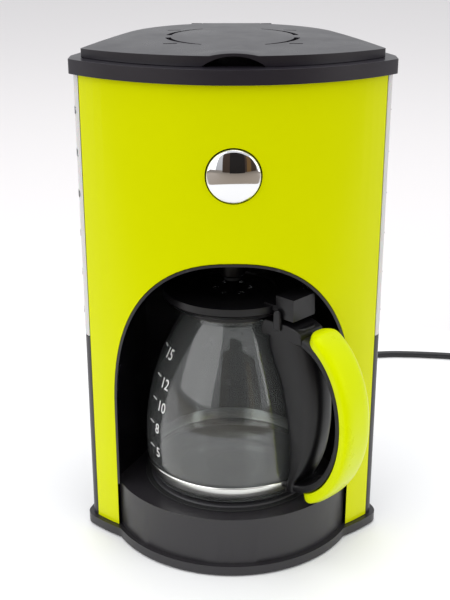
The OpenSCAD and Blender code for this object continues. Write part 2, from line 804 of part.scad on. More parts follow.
// Outlines of the handle in its plane, as distance from the axis and height.
grip_rho = 66;
grip_z = 113;

module grip_oval(a, b) { polygon(oval(grip_rho, grip_z, a, b, 2, -180, 177, 119)); }

module finger_gap() {
    difference() {
        grip_oval(36.5, 52);
        polygon(oval(46, 118, 41, 70, 2, -90, 90, 48));
    }
}

module handle_outline() {
    difference() {
        union() {
            intersection() {
                grip_oval(41.3, 59);
                translate([50.5, 40]) square([80, 160]);
            }
            translate([neck_r + 3.5, 166]) square([70 - neck_r, 11.6]);
            translate([59, 52]) square([12, 18]);
        }
        finger_gap();
        offset_glass();
    }
}

// The space that the glass and its band take out of the handle.
module offset_glass() {
    clear = 1.2;
    polygon(concat([[0, foot_z]],
        [for (p = glass_side) [p[0] + clear, foot_z + p[1]]], [[0, foot_z + 128]]));
}

// One of the two ears that hold the lid's pin.
module hinge_ear() {
    translate([carafe_hinge_rho - 3.2, lever_w / 2 + slip - 4, 170]) cube([6.6, ear_t + 4, 7]);
    translate([carafe_hinge_rho - 3.2, lever_w / 2 + slip, 172]) cube([6.6, ear_t, 15.4]);
}

module carafe_handle() color("#332f35") at_carafe() difference() {
    union() {
        in_handle_plane(handle_w) handle_outline();
        rotate([0, 0, -handle_turn]) for (s = [0, 1]) mirror([0, s, 0]) hinge_ear();
    }
    translate([0, 0, collar_z - 1]) cylinder(r = neck_r + 3.05, h = 20);
    translate([0, 0, neck_z - 1]) cylinder(r1 = carafe_lid_r - 3.6, r2 = carafe_lid_r + 0.4, h = 4);
    rotate([0, 0, -handle_turn]) {
        translate([carafe_hinge_rho, 0, carafe_hinge_z]) rotate([90, 0, 0])
            cylinder(r = carafe_pin_r, h = carafe_pin_l, center = true);
        translate([0, 0, 171.5]) rotate([0, 90, 0]) cylinder(r = 1.6, h = 55);
        translate([50, 0, foot_z + band_z + 4]) rotate([0, 90, 0]) cylinder(r = 1.6, h = 17);
    }
}

module handle_insert() color("#d7e600") at_carafe() in_handle_plane(handle_w + 2)
    difference() {
        grip_oval(50, 68);
        grip_oval(41.5, 59.2);
        translate([0, 0]) square([76, 114]);
        translate([-20, 100]) square([97, 120]);
    }

module handle_screws() color("silver") at_carafe() rotate([0, 0, -handle_turn]) {
    translate([neck_r + 3.2, 0, 171.5]) rotate([0, 90, 0]) cylinder(r = 1.5, h = 14);
    translate([glass_r + 0.2, 0, foot_z + band_z + 4]) rotate([0, 90, 0]) {
        cylinder(r = 1.5, h = 3);
    }
}

module carafe_lid() color("#38353a") at_carafe() difference() {
    union() {
        translate([0, 0, lid_rim_z]) cylinder(r = carafe_lid_r - 0.4, h = lid_rim_h);
        rotate([0, 0, -handle_turn]) {
            translate([40, -lever_w / 2, lid_rim_z + 2]) cube([lever_reach - 40, lever_w, 4]);
            translate([50, -lever_w / 2, lever_low])
                cube([lever_reach - 50, lever_w, lever_top - lever_low]);
        }
        translate([0, 0, lid_rim_z - 8]) cylinder(r = neck_r - 5, h = 9);
    }
    translate([0, 0, lid_rim_z - 9]) cylinder(r = neck_r - 6.6, h = 11);
    translate([0, 0, lid_rim_z + lid_rim_h - 1.6]) cylinder(r = 30, h = 30);
    for (a = [0:60:300]) translate([12 * cos(a), 12 * sin(a), lid_rim_z]) cylinder(r = 2.4, h = 20);
    rotate([0, 0, -handle_turn]) translate([carafe_hinge_rho, 0, carafe_hinge_z])
        rotate([90, 0, 0]) cylinder(r = carafe_pin_r + 0.06, h = 60, center = true);
}

module carafe_lid_pin() color("silver") at_carafe() rotate([0, 0, -handle_turn])
    translate([carafe_hinge_rho, 0, carafe_hinge_z]) rotate([90, 0, 0])
        cylinder(r = carafe_pin_r, h = carafe_pin_l, center = true);

base_shell();
bottom_cover();
feet();
base_screws();
front_panel();
niche_liner();
rear_shell();
gauge_window_left();
gauge_window_right();
top_rim();
water_tank();
warming_plate();
plate_seal();
heating_element();
heater_bracket();
thermostat();
thermal_fuse();
check_valve_body();
check_valve_ball();
inlet_hose();
outlet_hose();
hose_clamps();
riser_tube();
filter_basket();
mesh_filter();
drip_stop_valve();
drip_stop_spring();
drip_stop_cap();
lid();
lid_spreader();
lid_hinge_pin();
power_button();
button_bezel();
button_spring();
switch_body();
terminal_block();
wiring();
strain_relief();
power_cord();
cord_coil();
mains_plug();
plug_blades();
carafe_glass();
carafe_band();
carafe_collar();
carafe_handle();
handle_insert();
handle_screws();
carafe_lid();
carafe_lid_pin();
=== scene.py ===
import json
import math

import bmesh
import bpy
from mathutils import Matrix, Vector
from mathutils.bvhtree import BVHTree


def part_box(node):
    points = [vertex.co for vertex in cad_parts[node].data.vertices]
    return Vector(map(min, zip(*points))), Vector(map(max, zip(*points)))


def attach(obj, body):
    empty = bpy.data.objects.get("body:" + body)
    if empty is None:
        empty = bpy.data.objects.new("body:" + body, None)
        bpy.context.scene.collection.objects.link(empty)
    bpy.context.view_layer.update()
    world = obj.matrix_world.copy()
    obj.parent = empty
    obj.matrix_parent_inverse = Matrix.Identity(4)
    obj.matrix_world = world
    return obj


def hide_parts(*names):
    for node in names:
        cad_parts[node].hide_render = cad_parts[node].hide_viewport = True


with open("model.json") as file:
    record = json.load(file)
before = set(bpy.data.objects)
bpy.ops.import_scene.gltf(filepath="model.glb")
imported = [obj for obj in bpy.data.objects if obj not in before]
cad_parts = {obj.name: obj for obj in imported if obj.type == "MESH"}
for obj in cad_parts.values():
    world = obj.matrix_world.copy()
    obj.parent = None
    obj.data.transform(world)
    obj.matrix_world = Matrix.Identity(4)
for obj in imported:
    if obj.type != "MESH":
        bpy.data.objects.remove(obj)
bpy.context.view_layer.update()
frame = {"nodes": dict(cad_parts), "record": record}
CARAFE_TURN = math.radians(-44)

bl_info = {
    "name": "Drip coffee maker",
    "version": (1, 0, 0),
    "blender": (4, 5, 0),
    "location": "View3D > Sidebar > Coffee maker",
    "description": "Builds the finished look of a drip coffee maker around its CAD frame",
    "category": "Object",
}


# ---- places, all read from the frame ----

def middle(node):
    """The middle of a CAD node's box."""
    low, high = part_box(node)
    return (low + high) / 2


def low(node):
    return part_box(node)[0]


def high(node):
    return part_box(node)[1]


CARAFE = middle("carafe_glass")
FOOT_Z = low("carafe_glass").z
GLASS_R = (high("carafe_glass").x - low("carafe_glass").x) / 2
NECK_Z = high("carafe_glass").z


# ---- nodes and materials ----

def linear(code):
    """An sRGB hex colour as linear red, green, blue and alpha."""
    parts = [int(code[i:i + 2], 16) / 255 for i in (1, 3, 5)]
    return (*(c / 12.92 if c <= 0.04045 else ((c + 0.055) / 1.055) ** 2.4 for c in parts), 1.0)


def add(tree, kind, inputs=None, **settings):
    """Adds a node with its settings. An input is a value, or the socket that feeds it."""
    node = tree.nodes.new(kind)
    for name, value in settings.items():
        setattr(node, name, value)
    for name, value in (inputs or {}).items():
        if isinstance(value, bpy.types.NodeSocket):
            tree.links.new(value, node.inputs[name])
        else:
            node.inputs[name].default_value = value
    return node


def start(name, **inputs):
    """An empty material with one shader. Returns the material, its tree and its shader."""
    made = bpy.data.materials.new(name)
    made.use_nodes = True
    tree = made.node_tree
    tree.nodes.clear()
    shader = add(tree, "ShaderNodeBsdfPrincipled",
                 {key.replace("_", " "): value for key, value in inputs.items()})
    output = add(tree, "ShaderNodeOutputMaterial")
    tree.links.new(shader.outputs["BSDF"], output.inputs["Surface"])
    return made, tree, shader


def relief(tree, shader, height, depth_mm):
    """Bump from a height from 0 to 1, with its real depth in millimetres."""
    bump = add(tree, "ShaderNodeBump", {"Height": height, "Distance": depth_mm / 1000})
    tree.links.new(bump.outputs["Normal"], shader.inputs["Normal"])


def moulded(name, code, rough, grain_mm, depth_mm, spread=0.06, marks_mm=28, tint=0.06, **inputs):
    """Injection-moulded or cast surface: tool grain, soft handling marks, faint colour drift."""
    made, tree, shader = start(name, **inputs)
    where = add(tree, "ShaderNodeTexCoord").outputs["Object"]
    grain = add(tree, "ShaderNodeTexNoise",
                {"Vector": where, "Scale": 1000 / grain_mm, "Detail": 3.0, "Roughness": 0.6})
    marks = add(tree, "ShaderNodeTexNoise",
                {"Vector": where, "Scale": 1000 / marks_mm, "Detail": 5.0, "Roughness": 0.62})
    dark = tuple(c * (1 - tint) for c in linear(code)[:3]) + (1.0,)
    light = tuple(min(1.0, c * (1 + tint)) for c in linear(code)[:3]) + (1.0,)
    colour = add(tree, "ShaderNodeMix", {0: marks.outputs["Fac"], 6: dark, 7: light},
                 data_type="RGBA")
    shine = add(tree, "ShaderNodeMapRange",
                {"Value": marks.outputs["Fac"], "From Min": 0.3, "From Max": 0.7,
                 "To Min": max(rough - spread, 0.02), "To Max": rough + spread})
    tree.links.new(colour.outputs[2], shader.inputs["Base Color"])
    tree.links.new(shine.outputs["Result"], shader.inputs["Roughness"])
    relief(tree, shader, grain.outputs["Fac"], depth_mm)
    return made


def metal(name, code, rough, line_mm, depth_mm, stretch, spread=0.05, **inputs):
    """Metal with fine lines from its working, stretched along the way it was worked."""
    made, tree, shader = start(name, Metallic=1.0, **inputs)
    where = add(tree, "ShaderNodeTexCoord").outputs["Object"]
    along = add(tree, "ShaderNodeMapping", {"Vector": where, "Scale": stretch})
    lines = add(tree, "ShaderNodeTexNoise",
                {"Vector": along.outputs["Vector"], "Scale": 1000 / line_mm, "Detail": 4.0})
    stains = add(tree, "ShaderNodeTexNoise", {"Vector": where, "Scale": 1000 / 22, "Detail": 4.0})
    dark = tuple(c * 0.9 for c in linear(code)[:3]) + (1.0,)
    colour = add(tree, "ShaderNodeMix",
                 {0: stains.outputs["Fac"], 6: dark, 7: linear(code)}, data_type="RGBA")
    shine = add(tree, "ShaderNodeMapRange",
                {"Value": lines.outputs["Fac"], "From Min": 0.3, "From Max": 0.7,
                 "To Min": max(rough - spread, 0.01), "To Max": rough + spread})
    tree.links.new(colour.outputs[2], shader.inputs["Base Color"])
    tree.links.new(shine.outputs["Result"], shader.inputs["Roughness"])
    relief(tree, shader, lines.outputs["Fac"], depth_mm)
    return made


def clear_glass():
    """Blown borosilicate glass: clear but for a thin haze, with faint waves from the mould."""
    made, tree, shader = start("Borosilicate_glass_blown", IOR=1.5, Roughness=0.0,
                               Transmission_Weight=0.97, Specular_IOR_Level=0.8)
    where = add(tree, "ShaderNodeTexCoord").outputs["Object"]
    wave = add(tree, "ShaderNodeTexNoise", {"Vector": where, "Scale": 1000 / 30, "Detail": 1.0})
    smear = add(tree, "ShaderNodeTexNoise", {"Vector": where, "Scale": 1000 / 16, "Detail": 6.0})
    tone = add(tree, "ShaderNodeMix", {0: smear.outputs["Fac"], 6: linear("#f0f3f2"),
                                       7: linear("#fbfdfc")}, data_type="RGBA")
    shine = add(tree, "ShaderNodeMapRange", {"Value": smear.outputs["Fac"], "From Min": 0.45,
                                             "From Max": 0.75, "To Min": 0.0, "To Max": 0.05})
    tree.links.new(tone.outputs[2], shader.inputs["Base Color"])
    tree.links.new(shine.outputs["Result"], shader.inputs["Roughness"])
    relief(tree, shader, wave.outputs["Fac"], 0.05)
    return made


def woven_mesh():
    """Gold-coloured steel mesh, plain weave of 0.5 mm wires drawn coarse enough to show."""
    made, tree, shader = start("Steel_mesh_titanium_coated", Metallic=1.0, Roughness=0.32)
    where = add(tree, "ShaderNodeTexCoord").outputs["Object"]
    around = add(tree, "ShaderNodeTexWave", {"Vector": where, "Scale": 1000 / 3.2},
                 bands_direction="Z", wave_profile="SIN")
    across = add(tree, "ShaderNodeTexWave", {"Vector": where, "Scale": 1000 / 3.2},
                 bands_direction="DIAGONAL", wave_profile="SIN")
    both = add(tree, "ShaderNodeMath",
               {0: around.outputs["Fac"], 1: across.outputs["Fac"]}, operation="MULTIPLY")
    colour = add(tree, "ShaderNodeMix", {0: both.outputs["Value"], 6: linear("#3a2a12"),
                                         7: linear("#c9a24a")}, data_type="RGBA")
    tree.links.new(colour.outputs[2], shader.inputs["Base Color"])
    relief(tree, shader, both.outputs["Value"], 0.15)
    return made


def printed_ink(code):
    """Screen-printed ink: flat, a little uneven where the screen laid it down."""
    return moulded("Ink_screen_printed", code, 0.55, 0.3, 0.01)


def make_materials(colours):
    """Every finish of the machine, by the record's slot or by its own use."""
    made = {
        # Lacquered panel: full glossy colour, nearly free of grain, with a shine of its own hue.
        "green_panel": moulded("ABS_moulded_lacquered_green", colours.panel, 0.16, 2.5, 0.004,
                               spread=0.03, marks_mm=60, tint=0.015, IOR=1.45,
                               Specular_Tint=linear("#e8f000")),
        # Grip insert: the same green, a softer satin from a finely blasted tool.
        "green_grip": moulded("ABS_moulded_satin_green", colours.grip, 0.3, 0.8, 0.012,
                              tint=0.02, IOR=1.45, Specular_Tint=linear("#e8f000")),
        # Dark housing: even satin grain that catches a wide soft sheen.
        "black_abs": moulded("ABS_moulded_satin_black", colours.housing, 0.36, 0.5, 0.006),
        "black_gloss": moulded("ABS_moulded_gloss_black", "#141216", 0.24, 1.5, 0.003,
                               spread=0.05),
        "grey_plastic": moulded("ABS_moulded_semigloss_charcoal", colours.top, 0.3, 0.5, 0.004,
                                spread=0.04, Specular_IOR_Level=0.4),
        "black_pp": moulded("Polypropylene_moulded_black", colours.handle, 0.36, 0.5, 0.008,
                            spread=0.05, Specular_IOR_Level=0.35),
        "gauge_plastic": moulded("SAN_moulded_frosted", "#c9c8c6", 0.22, 0.9, 0.01, tint=0.02,
                                 Subsurface_Weight=0.3, Subsurface_Scale=0.003),
        "tank_plastic": moulded("Polypropylene_moulded_natural", "#d7dcdc", 0.38, 1.2, 0.02,
                                tint=0.03, Subsurface_Weight=0.25, Subsurface_Scale=0.004),
        "rubber_black": moulded("Rubber_moulded_black", "#1b1b1c", 0.72, 0.5, 0.03),
        "silicone_red": moulded("Silicone_moulded_red", "#8d1f14", 0.5, 0.8, 0.02),
        "silicone_white": moulded("Silicone_extruded_white", "#d9d5ca", 0.45, 1.0, 0.02),
        "nylon_white": moulded("Nylon_moulded_natural", "#e2ddd0", 0.42, 0.9, 0.015),
        "wire_red": moulded("Silicone_wire_extruded", "#8c2f2a", 0.45, 0.6, 0.01),
        "cord_pvc": moulded("PVC_extruded_black", "#17171a", 0.42, 0.9, 0.02, spread=0.08),
        # Non-stick coating: dark, a little sparkling, dull.
        "plate_coat": moulded("PTFE_coating_sprayed", "#343336", 0.42, 0.35, 0.02, tint=0.2),
        "screw_steel": metal("Steel_zinc_plated", "#c3c3bf", 0.32, 0.4, 0.01, (1, 1, 1)),
        "mirror_chrome": metal("Brass_chrome_plated_polished", "#e6e6e8", 0.03, 3.0, 0.0004,
                               (1, 1, 1), spread=0.015),
        "band_steel": metal("Stainless_steel_rolled_polished", "#ecece9", 0.2, 0.6, 0.003,
                            (0.05, 0.05, 1), spread=0.04),
        "cast_alu": metal("Aluminium_die_cast", "#b9bab9", 0.48, 1.2, 0.06, (1, 1, 1)),
        "sheet_steel": metal("Steel_sheet_galvanised", "#b5b7b4", 0.36, 2.0, 0.01, (1, 0.2, 1)),
        "spring_steel": metal("Spring_steel_drawn", "#b9babb", 0.22, 0.3, 0.004, (1, 1, 0.1)),
        "brass_blade": metal("Brass_stamped", "#c8ad62", 0.25, 0.5, 0.006, (1, 0.08, 1)),
        "glass_clear": clear_glass(),
        "mesh_gold": woven_mesh(),
    }
    return made


MATERIALS = {}


def finish(slot):
    return MATERIALS[slot]


# ---- making pieces ----

def place(bm, name, body, slot, nodes, soft=35, material=None):
    """Makes a piece of a bmesh: smooth but for edges sharper than soft degrees."""
    mesh = bpy.data.meshes.new(name)
    bm.to_mesh(mesh)
    bm.free()
    mesh.shade_smooth()
    mesh.set_sharp_from_angle(angle=math.radians(soft))
    piece = bpy.data.objects.new(name, mesh)
    bpy.context.scene.collection.objects.link(piece)
    mesh.materials.append(material or finish(slot))
    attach(piece, body)
    if nodes:
        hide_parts(*nodes)
    return piece


def round_edges(piece, width, segments=2, angle=38):
    """Rounds every edge sharper than angle degrees."""
    bevel = piece.modifiers.new("Rounded_edges", "BEVEL")
    bevel.width = width
    bevel.segments = segments
    bevel.limit_method = "ANGLE"
    bevel.angle_limit = math.radians(angle)
    bevel.harden_normals = True
    bevel.use_clamp_overlap = True
    bevel.miter_outer = "MITER_ARC"
    return piece


def body_of_node(node):
    for body, nodes in frame["record"]["behaviour"]["bodies"].items():
        if node in nodes:
            return body
    raise RuntimeError("no body holds " + node)


def slot_of_node(node):
    for row in frame["record"]["subparts"]:
        if row["node"] == node:
            return row["material_slot"]
    raise RuntimeError("no slot for " + node)


def merged_copy(node):
    """A bmesh of a CAD node with its triangles merged into whole faces."""
    bm = bmesh.new()
    bm.from_mesh(frame["nodes"][node].data)
    bmesh.ops.remove_doubles(bm, verts=bm.verts, dist=1e-5)
    bmesh.ops.dissolve_limit(bm, angle_limit=math.radians(0.3), verts=bm.verts, edges=bm.edges)
    return bm


def refine(node, name, edge, slot=None, segments=2, angle=38):
    """A copy of a CAD node with rounded edges and its real finish."""
    slot = slot or slot_of_node(node)
    piece = place(merged_copy(node), name, body_of_node(node), slot, [node])
    return round_edges(piece, edge, segments, angle)


def repaint(*nodes):
    """CAD nodes that keep their shape and get their real finish."""
    for node in nodes:
        mesh = frame["nodes"][node].data
        mesh.materials.clear()
        mesh.materials.append(finish(slot_of_node(node)))


def smooth_line(points, steps):
    """A smooth line through points, with steps between each two."""
    padded = [points[0], *points, points[-1]]
    line = []
    for i in range(1, len(padded) - 2):
        a, b, c, d = (Vector(p) for p in padded[i - 1:i + 3])
        for k in range(steps):
            t = k / steps
            line.append(0.5 * (2 * b + (c - a) * t + (2 * a - 5 * b + 4 * c - d) * t * t
                               + (3 * b - a - 3 * c + d) * t ** 3))
    return line + [Vector(points[-1])]


def lathe(profile, centre, steps=96, closed=False, axis=(0, 0, 1)):
    """Turns a profile of (distance, height) about an axis through centre."""
    bm = bmesh.new()
    turn = Vector((0, 0, 1)).rotation_difference(Vector(axis))
    spots = [Vector(centre) + turn @ Vector((r, 0, z)) for r, z in profile]
    verts = [bm.verts.new(spot) for spot in spots]
    pairs = list(zip(verts, verts[1:])) + ([(verts[-1], verts[0])] if closed else [])
    edges = [bm.edges.new(pair) for pair in pairs]
    bmesh.ops.spin(bm, geom=verts + edges, cent=centre, axis=axis, angle=2 * math.pi,
                   steps=steps, use_merge=True, use_normal_flip=False, use_duplicate=False)
    bmesh.ops.remove_doubles(bm, verts=bm.verts, dist=1e-6)
    bmesh.ops.recalc_face_normals(bm, faces=bm.faces)
    return bm


def prism(points, thickness_dir):
    """A flat outline of points pushed out along a direction into a solid."""
    bm = bmesh.new()
    face = bm.faces.new([bm.verts.new(p) for p in points])
    grown = bmesh.ops.extrude_face_region(bm, geom=[face])
    moved = [v for v in grown["geom"] if isinstance(v, bmesh.types.BMVert)]
    bmesh.ops.translate(bm, verts=moved, vec=thickness_dir)
    bmesh.ops.recalc_face_normals(bm, faces=bm.faces)
    return bm


def join(into, part):
    """Adds one bmesh to another."""
    mesh = bpy.data.meshes.new("joined")
    part.to_mesh(mesh)
    part.free()
    into.from_mesh(mesh)
    bpy.data.meshes.remove(mesh)


def loft(rings):
    """A closed solid through rings of points, one after another."""
    bm = bmesh.new()
    loops = []
    for ring in rings:
        verts = [bm.verts.new(spot) for spot in ring]
        loops.append([bm.edges.new((verts[i - 1], verts[i])) for i in range(len(verts))])
    for a, b in zip(loops, loops[1:]):
        bmesh.ops.bridge_loops(bm, edges=a + b)
    for end in (loops[0], loops[-1]):
        bmesh.ops.edgeloop_fill(bm, edges=end)
    bmesh.ops.recalc_face_normals(bm, faces=bm.faces)
    return bm


def print_shapes(rows, thickness):
    """Thin numbers and ticks, from rows of (number or None, x, y, height or length)."""
    bm = bmesh.new()
    for number, x, y, size in rows:
        if number is None:
            spot = Matrix.Translation((x, y, 0)) @ Matrix.Diagonal((size, 0.0006, thickness, 1))
            bmesh.ops.create_cube(bm, size=1, matrix=spot)
            continue
        curve = bpy.data.curves.new("Number", "FONT")
        curve.body = number
        curve.size = size
        curve.extrude = thickness / 2
        curve.resolution_u = 3
        typed = bpy.data.objects.new("Number", curve)
        mesh = bpy.data.meshes.new_from_object(typed)
        mesh.transform(Matrix.Translation((x, y - size * 0.35, 0)))
        bm.from_mesh(mesh)
        bpy.data.objects.remove(typed)
        bpy.data.meshes.remove(mesh)
    bmesh.ops.remove_doubles(bm, verts=bm.verts, dist=1e-6)
    return bm


def handle_point(rho, side, z):
    """A point by its distance from the carafe's axis, its sideways place and its height."""
    c, s = math.cos(CARAFE_TURN), math.sin(CARAFE_TURN)
    return Vector((CARAFE.x + rho * c - side * s, CARAFE.y + rho * s + side * c, z))


# ---- properties ----

class MakerSizes(bpy.types.PropertyGroup):
    shell_edge: bpy.props.FloatProperty(
        name="Housing edge", description="Rounding of the housing's moulded edges",
        default=0.0006, unit="LENGTH")
    panel_edge: bpy.props.FloatProperty(
        name="Panel edge", description="Rounding of the coloured panel's edges",
        default=0.0005, unit="LENGTH")
    top_edge: bpy.props.FloatProperty(
        name="Rim and lid edge", description="Rounding of the top rim and the lid",
        default=0.0022, unit="LENGTH")
    glass_wall: bpy.props.FloatProperty(
        name="Glass wall", description="Thickness of the carafe's glass",
        default=0.0022, unit="LENGTH")
    grip_round: bpy.props.FloatProperty(
        name="Grip section", description="How square the grip's outer side is, from 2 for round",
        default=3.1, min=2.0, max=6.0)
    lead_diameter: bpy.props.FloatProperty(
        name="Lead", description="Diameter of the mains lead", default=0.006, unit="LENGTH")


class MakerColours(bpy.types.PropertyGroup):
    panel: bpy.props.StringProperty(
        name="Panel", description="Colour of the front panel, as hex", default="#cdd300")
    grip: bpy.props.StringProperty(
        name="Grip", description="Colour of the handle's insert, as hex", default="#cbd800")
    housing: bpy.props.StringProperty(
        name="Housing", description="Colour of the dark housing, as hex", default="#252326")
    top: bpy.props.StringProperty(
        name="Top", description="Colour of the rim and the lid, as hex", default="#201d24")
    handle: bpy.props.StringProperty(
        name="Handle", description="Colour of the handle and the carafe lid, as hex",
        default="#0d0c0e")
    floor: bpy.props.StringProperty(
        name="Floor", description="Colour of the floor, as hex", default="#f4f4f4")


# ---- stage and lead ----

class STAGE_OT_build(bpy.types.Operator):
    """Plain floor, soft studio light and the camera"""
    bl_idname = "coffee.stage"
    bl_label = "Stage"

    def execute(self, context):
        scene = context.scene
        scene.view_settings.view_transform = "Standard"
        view = bpy.data.cameras.new("Camera")
        view.lens = 66.1
        view.clip_end = 50
        camera = bpy.data.objects.new("Camera", view)
        camera.location = (-0.0075, -0.7443, 0.4547)
        forward = Vector((0.0029, 0.9336, -0.3583))
        camera.rotation_euler = forward.to_track_quat("-Z", "Y").to_euler()
        scene.collection.objects.link(camera)
        scene.camera = camera

        bm = bmesh.new()
        bmesh.ops.create_grid(bm, x_segments=1, y_segments=1, size=12)
        mesh = bpy.data.meshes.new("Floor")
        bm.to_mesh(mesh)
        bm.free()
        floor = bpy.data.objects.new("Floor", mesh)
        scene.collection.objects.link(floor)
        mesh.materials.append(self.table(scene.maker_colours.floor))

        world = bpy.data.worlds.new("Studio")
        scene.world = world
        world.use_nodes = True
        tree = world.node_tree
        tree.nodes.clear()
        where = add(tree, "ShaderNodeTexCoord").outputs["Generated"]
        height = add(tree, "ShaderNodeSeparateXYZ", {"Vector": where}).outputs["Z"]
        up = add(tree, "ShaderNodeMapRange", {"Value": height, "From Min": -0.1, "From Max": 0.9,
                                              "To Min": 0.55, "To Max": 1.0})
        back = add(tree, "ShaderNodeBackground",
                   {"Color": (0.97, 0.98, 1.0, 1.0), "Strength": up.outputs["Result"]})
        output = add(tree, "ShaderNodeOutputWorld")
        tree.links.new(back.outputs["Background"], output.inputs["Surface"])

        def lamp(name, spot, target, size_x, size_y, power):
            data = bpy.data.lights.new(name, "AREA")
            data.shape = "RECTANGLE"
            data.size, data.size_y = size_x, size_y
            data.energy = power
            light = bpy.data.objects.new(name, data)
            light.location = spot
            aim = Vector(target) - Vector(spot)
            light.rotation_euler = aim.to_track_quat("-Z", "Y").to_euler()
            scene.collection.objects.link(light)

        # Boards behind the camera, seen only as reflections: a brown wall, an oak door and a
        # near-black board that is painted shade standing in for an unlit doorway.
        for name, code, x, y, z, wide, tall in (
                ("Brown_wall", "#54453a", 0.9, -3.6, 1.0, 4.2, 2.6),
                # Painted shade: this near-black board stands where an open doorway shows only the
                # unlit room beyond.
                ("Doorway_painted_shade", "#191411", 0.35, -2.8, 0.85, 1.3, 2.2),
                ("Oak_door", "#8a6a3e", 1.5, -3.0, 0.9, 0.45, 1.7)):
            bm = bmesh.new()
            bmesh.ops.create_grid(bm, x_segments=1, y_segments=1, size=0.5,
                                  matrix=Matrix.Translation((x, y, z))
                                  @ Matrix.Rotation(math.radians(90), 4, "X")
                                  @ Matrix.Diagonal((wide, tall, 1, 1)))
            mesh = bpy.data.meshes.new(name)
            bm.to_mesh(mesh)
            bm.free()
            board = bpy.data.objects.new(name, mesh)
            board.visible_diffuse = board.visible_camera = False
            scene.collection.objects.link(board)
            mesh.materials.append(moulded("Cloth_matt_" + name, code, 0.9, 4.0, 0.02))

        lamp("Key_left", (-1.7, -1.2, 1.2), (0, 0, 0.2), 2.4, 2.2, 23)
        lamp("Overhead", (0.1, 0.2, 2.4), (0, 0, 0), 2.2, 1.8, 26)
        lamp("Fill_right", (1.9, -1.0, 0.9), (0, 0, 0.2), 1.2, 1.6, 10)
        return {"FINISHED"}


    def table(self, code):
        """A white round table top, light grey beyond it and a brown floor before it."""
        made, tree, shader = start("Laminate_white_matt", Roughness=0.65)
        where = add(tree, "ShaderNodeTexCoord").outputs["Object"]
        from_mid = add(tree, "ShaderNodeVectorMath", {0: where, 1: (0.03, -0.14, 0.0)},
                       operation="DISTANCE").outputs["Value"]
        edge = add(tree, "ShaderNodeMapRange", {"Value": from_mid, "From Min": 0.52,
                                                "From Max": 0.53})
        depth = add(tree, "ShaderNodeSeparateXYZ", {"Vector": where}).outputs["Y"]
        front = add(tree, "ShaderNodeMapRange", {"Value": depth, "From Min": -0.2,
                                                 "From Max": -0.5})
        speck = add(tree, "ShaderNodeTexNoise", {"Vector": where, "Scale": 1000 / 3})
        room = add(tree, "ShaderNodeMix", {0: front.outputs["Result"], 6: linear("#e4e1e1"),
                                           7: linear("#8d8274")}, data_type="RGBA")
        colour = add(tree, "ShaderNodeMix", {0: edge.outputs["Result"], 6: linear(code),
                                             7: room.outputs[2]}, data_type="RGBA")
        tree.links.new(colour.outputs[2], shader.inputs["Base Color"])
        relief(tree, shader, speck.outputs["Fac"], 0.02)
        return made


# Where the lead leaves its strain relief, and its route on the table up to its coil, as the CAD
# source gives them, in metres.
LEAD_EXIT = Vector((0.054, 0.1169, 0.02))
LEAD_START = ((0.0580, 0.1245, 0.0198), (0.063, 0.133, 0.0176), (0.068, 0.143, 0.0135),
              (0.073, 0.155, 0.0085), (0.077, 0.168, 0.0048), (0.081, 0.182, 0.0032),
              (0.085, 0.199, 0.003), (0.090, 0.217, 0.003), (0.097, 0.235, 0.003),
              (0.107, 0.252, 0.003), (0.121, 0.266, 0.003), (0.138, 0.275, 0.003),
              (0.158, 0.279, 0.003), (0.180, 0.279, 0.003), (0.202, 0.277, 0.003),
              (0.224, 0.274, 0.003), (0.245, 0.270, 0.003), (0.263, 0.268, 0.003))


def lead_route():
    """The lead's whole centreline: out of the gland, over the table and round its coil."""
    coil = middle("cord_coil")
    route = [LEAD_EXIT] + [Vector(p) for p in LEAD_START]

    def between(turned, a, b, before, after):
        t = min(max((turned - a) / (b - a), 0), 1)
        return before + (after - before) * t * t * (3 - 2 * t)

    first = math.atan2(LEAD_START[-1][1] - coil.y, LEAD_START[-1][0] - coil.x)
    whole = 1080 - math.degrees(first)
    count = 66
    for i in range(1, count + 1):
        turned = whole * i / count
        radius = (between(turned, 0, 40, 0.0388, 0.036) + between(turned, 285, 392, 0, -0.006)
                  + between(turned, 700, 800, 0, 0.003)
                  + between(turned, whole - 110, whole, 0, 0.003))
        rise = between(turned, 636, 712, 0.003, 0.0088) - between(turned, whole - 60, whole,
                                                                   0, 0.0013)
        a = first + math.radians(turned)
        route.append(Vector((coil.x + radius * math.cos(a), coil.y + radius * math.sin(a), rise)))
    route.append(Vector((middle("mains_plug").x, low("mains_plug").y + 0.001, 0.0075)))
    return route


